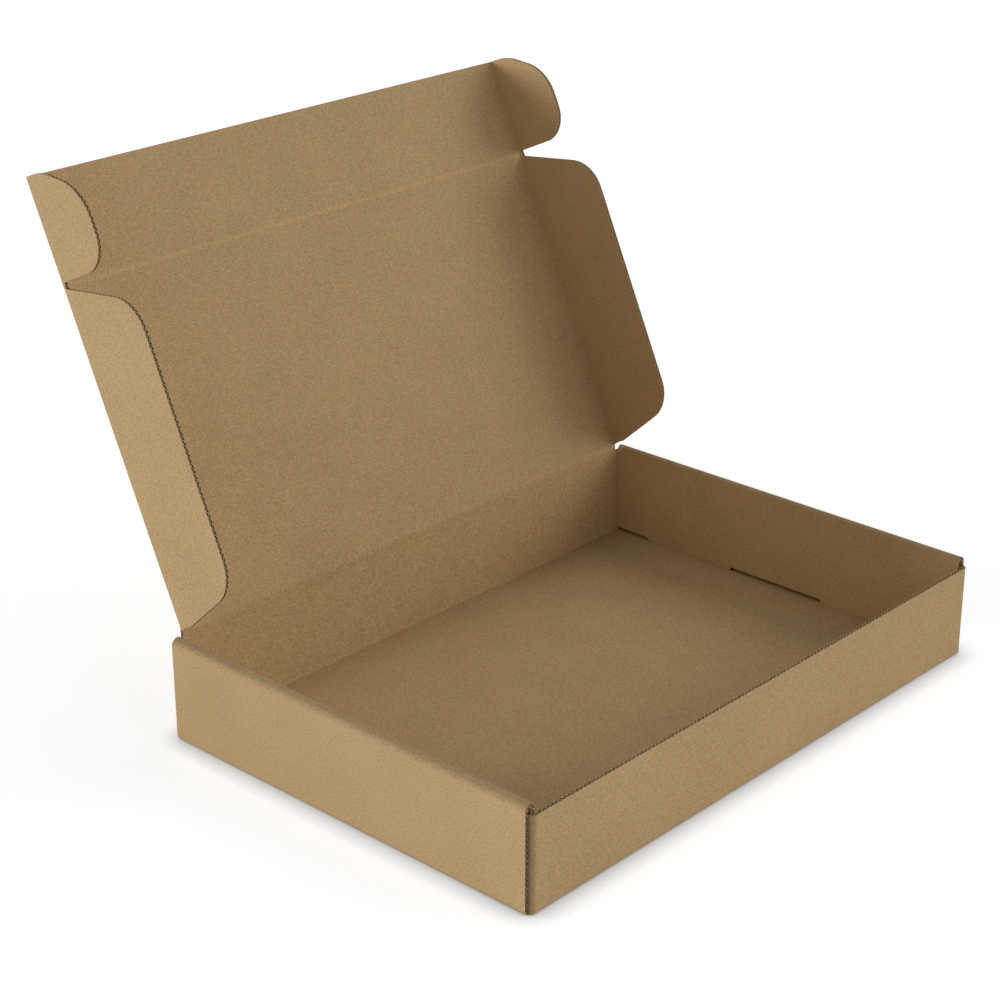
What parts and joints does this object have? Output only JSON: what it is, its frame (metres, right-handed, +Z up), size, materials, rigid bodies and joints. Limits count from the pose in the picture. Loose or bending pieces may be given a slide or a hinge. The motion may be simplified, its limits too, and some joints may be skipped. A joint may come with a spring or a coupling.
{
  "type": "corrugated mailer box",
  "caption": "Open kraft mailer box of fluted board, with rolled side walls and a hinged lid that carries dust flaps, a front flap and ears.",
  "frame": {"origin": "middle of the tray's underside", "axes": "+X to the right along the front wall, +Y from the front wall to the lid's hinge, +Z up"},
  "size_m": [0.4, 0.3883, 0.3148],
  "materials": {
    "kraft_outside": "matte brown kraft liner with fine fibre speckle",
    "kraft_inside": "matte brown kraft liner, slightly darker, with fine fibre speckle"
  },
  "bodies": {
    "tray": {"tray": "kraft_outside"},
    "lid": {"lid": "kraft_inside"},
    "front_flap": {"front_flap": "kraft_inside"},
    "left_dust_flap": {"left_dust_flap": "kraft_outside"},
    "right_dust_flap": {"right_dust_flap": "kraft_inside"},
    "left_ear": {"left_ear": "kraft_outside"},
    "right_ear": {"right_ear": "kraft_inside"}
  },
  "joints": [
    {"name": "lid_hinge", "type": "hinge", "parent": "tray", "child": "lid", "pos_m": [0, 0.13695, 0.06535], "axis": [1, 0, 0], "range_deg": [-65.3, 114.7]},
    {"name": "front_flap_crease", "type": "hinge", "parent": "lid", "child": "front_flap", "pos_m": [0, 0.22303, 0.2525], "axis": [1, 0, 0], "range_deg": [-90, 20]},
    {"name": "left_dust_flap_crease", "type": "hinge", "parent": "lid", "child": "left_dust_flap", "pos_m": [-0.19005, 0.13695, 0.06535], "axis": [0, 0.4179, 0.9085], "range_deg": [-90, 0]},
    {"name": "right_dust_flap_crease", "type": "hinge", "parent": "lid", "child": "right_dust_flap", "pos_m": [0.19005, 0.13695, 0.06535], "axis": [0, -0.4179, -0.9085], "range_deg": [-90, 0]},
    {"name": "left_ear_crease", "type": "hinge", "parent": "front_flap", "child": "left_ear", "pos_m": [-0.19005, 0.22303, 0.2525], "axis": [0, 0.4179, 0.9085], "range_deg": [-90, 0]},
    {"name": "right_ear_crease", "type": "hinge", "parent": "front_flap", "child": "right_ear", "pos_m": [0.19005, 0.22303, 0.2525], "axis": [0, -0.4179, -0.9085], "range_deg": [-90, 0]}
  ]
}
